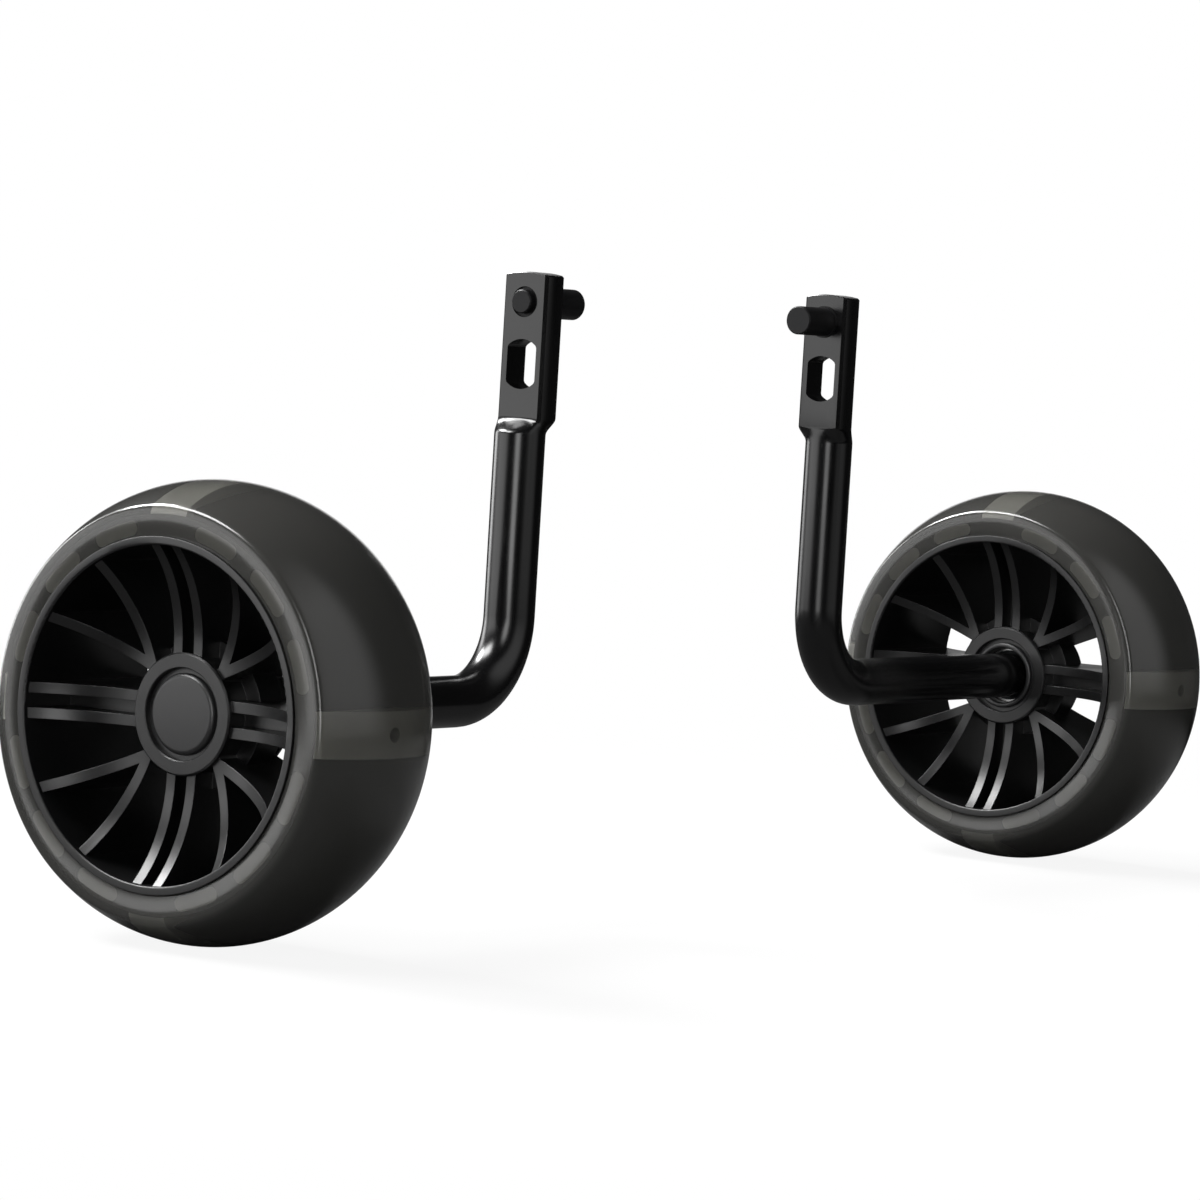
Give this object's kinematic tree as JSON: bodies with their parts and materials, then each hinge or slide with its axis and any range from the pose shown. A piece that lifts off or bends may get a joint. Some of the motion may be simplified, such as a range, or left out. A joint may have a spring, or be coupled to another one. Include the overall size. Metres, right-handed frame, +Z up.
{
  "type": "motorcycle training wheels",
  "caption": "Pair of mirrored training wheels for a small motorcycle: bent steel arms with a flat end and locating pin, and spoked wheels with smooth cast tyres and built-in lights.",
  "frame": {"origin": "on the ground, midway between the two wheels, under the wheel axis", "axes": "+X along the wheel axis from the left wheel to the right one, +Y the way the motorcycle travels, +Z up"},
  "size_m": [0.5382, 0.14, 0.2086],
  "materials": {
    "bar_paint": "gloss black coating on steel",
    "black_oxide_steel": "black oxide on steel",
    "filled_nylon": "moulded, fine satin grain",
    "smoked_urethane": "cast, smooth, slightly see-through",
    "light_bar_plastic": "moulded, milky",
    "lamp_epoxy": "clear domed epoxy",
    "circuit_board": "lacquered laminate",
    "coil_copper": "enamelled winding",
    "cap_plastic": "moulded, satin",
    "sleeve_brass": "turned",
    "magnet_nickel": "nickel plated",
    "plated_steel": "zinc plated",
    "bearing_steel": "ground",
    "ball_steel": "polished"
  },
  "bodies": {
    "arms": {"left_arm": "bar_paint", "left_inner_bearing_balls": "ball_steel", "left_inner_bearing_cage": "plated_steel", "left_inner_bearing_inner_race": "bearing_steel", "left_locating_pin": "black_oxide_steel", "left_magnet_sleeve": "sleeve_brass", "left_outer_bearing_balls": "ball_steel", "left_outer_bearing_cage": "plated_steel", "left_outer_bearing_inner_race": "bearing_steel", "left_retaining_ring": "black_oxide_steel", "left_ring_magnet": "magnet_nickel", "left_thrust_washer": "plated_steel", "right_arm": "bar_paint", "right_inner_bearing_balls": "ball_steel", "right_inner_bearing_cage": "plated_steel", "right_inner_bearing_inner_race": "bearing_steel", "right_locating_pin": "black_oxide_steel", "right_magnet_sleeve": "sleeve_brass", "right_outer_bearing_balls": "ball_steel", "right_outer_bearing_cage": "plated_steel", "right_outer_bearing_inner_race": "bearing_steel", "right_retaining_ring": "black_oxide_steel", "right_ring_magnet": "magnet_nickel", "right_thrust_washer": "plated_steel"},
    "left_wheel": {"left_core": "filled_nylon", "left_dust_ring": "cap_plastic", "left_hub_cap": "cap_plastic", "left_inner_bearing_outer_race": "bearing_steel", "left_inner_bearing_shields": "plated_steel", "left_light_bars": "light_bar_plastic", "left_light_boards": "circuit_board", "left_light_coils": "coil_copper", "left_light_leds": "lamp_epoxy", "left_outer_bearing_outer_race": "bearing_steel", "left_outer_bearing_shields": "plated_steel", "left_tyre": "smoked_urethane"},
    "right_wheel": {"right_core": "filled_nylon", "right_dust_ring": "cap_plastic", "right_hub_cap": "cap_plastic", "right_inner_bearing_outer_race": "bearing_steel", "right_inner_bearing_shields": "plated_steel", "right_light_bars": "light_bar_plastic", "right_light_boards": "circuit_board", "right_light_coils": "coil_copper", "right_light_leds": "lamp_epoxy", "right_outer_bearing_outer_race": "bearing_steel", "right_outer_bearing_shields": "plated_steel", "right_tyre": "smoked_urethane"}
  },
  "joints": [
    {"name": "left_wheel_spin", "type": "hinge", "parent": "arms", "child": "left_wheel", "pos_m": [-0.241, 0, 0.07], "axis": [1, 0, 0], "continuous": true},
    {"name": "right_wheel_spin", "type": "hinge", "parent": "arms", "child": "right_wheel", "pos_m": [0.241, 0, 0.07], "axis": [1, 0, 0], "continuous": true}
  ]
}
